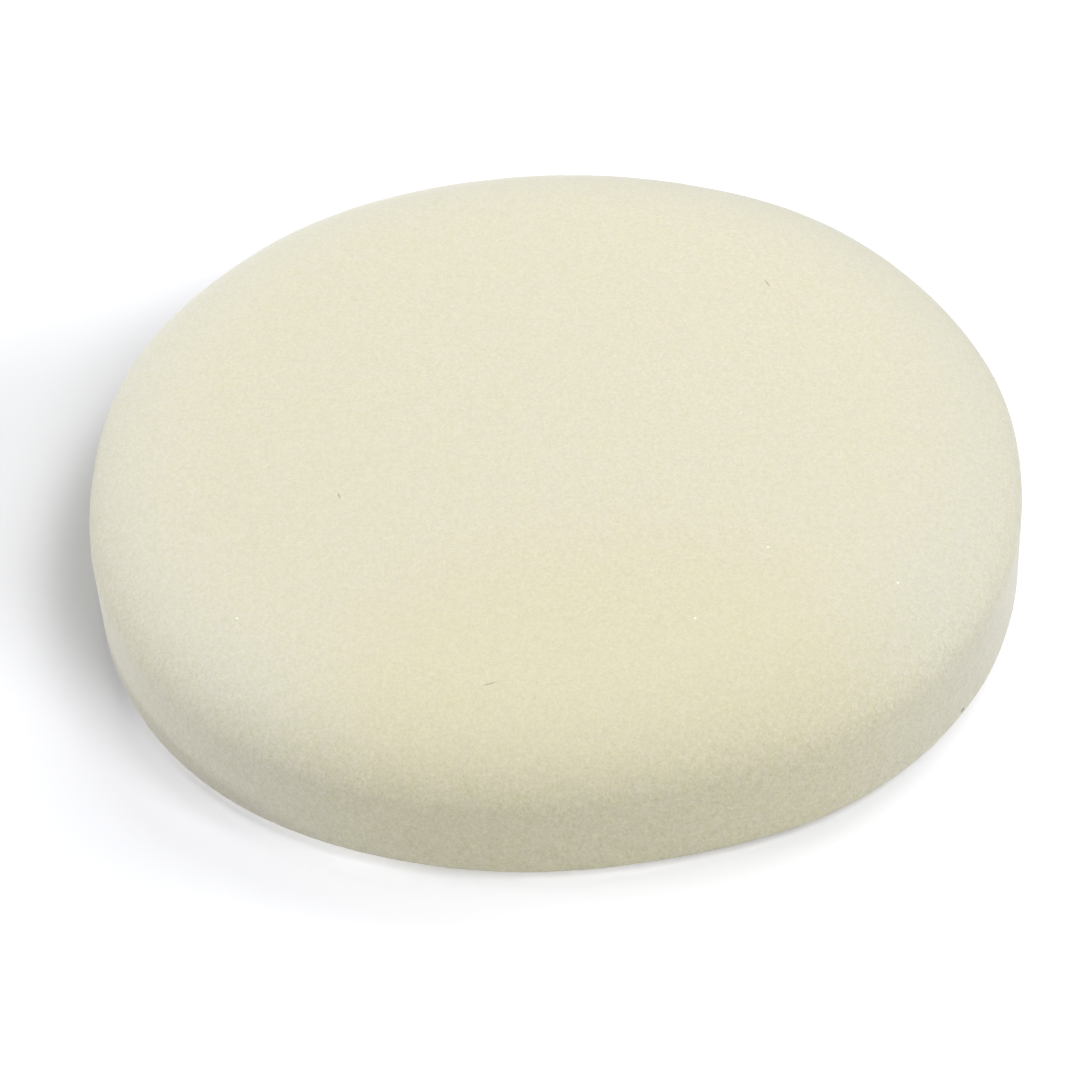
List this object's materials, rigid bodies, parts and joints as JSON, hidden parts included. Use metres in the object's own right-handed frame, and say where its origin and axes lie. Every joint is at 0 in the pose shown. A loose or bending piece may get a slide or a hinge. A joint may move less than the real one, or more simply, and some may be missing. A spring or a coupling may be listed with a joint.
{
  "type": "polishing pad",
  "caption": "Round foam polishing pad with a flat working face, a rounded rim and a hook-and-loop fabric backing.",
  "frame": {"origin": "centre of the loop face, on which the pad lies", "axes": "+Z is the disc's axis and points from the loop face to the working face; X and Y are any two directions across the disc"},
  "size_m": [0.15, 0.15, 0.025],
  "materials": {
    "foam": "open-cell polyurethane foam with fine cells, cream, fully matte",
    "glue": "hot-melt glue film, pale and slightly translucent",
    "loop_fabric": "knitted nylon loop pile, off-white, matte"
  },
  "bodies": {
    "root": {"foam_disc": "foam", "adhesive_film": "glue", "loop_backing": "loop_fabric"}
  },
  "joints": []
}
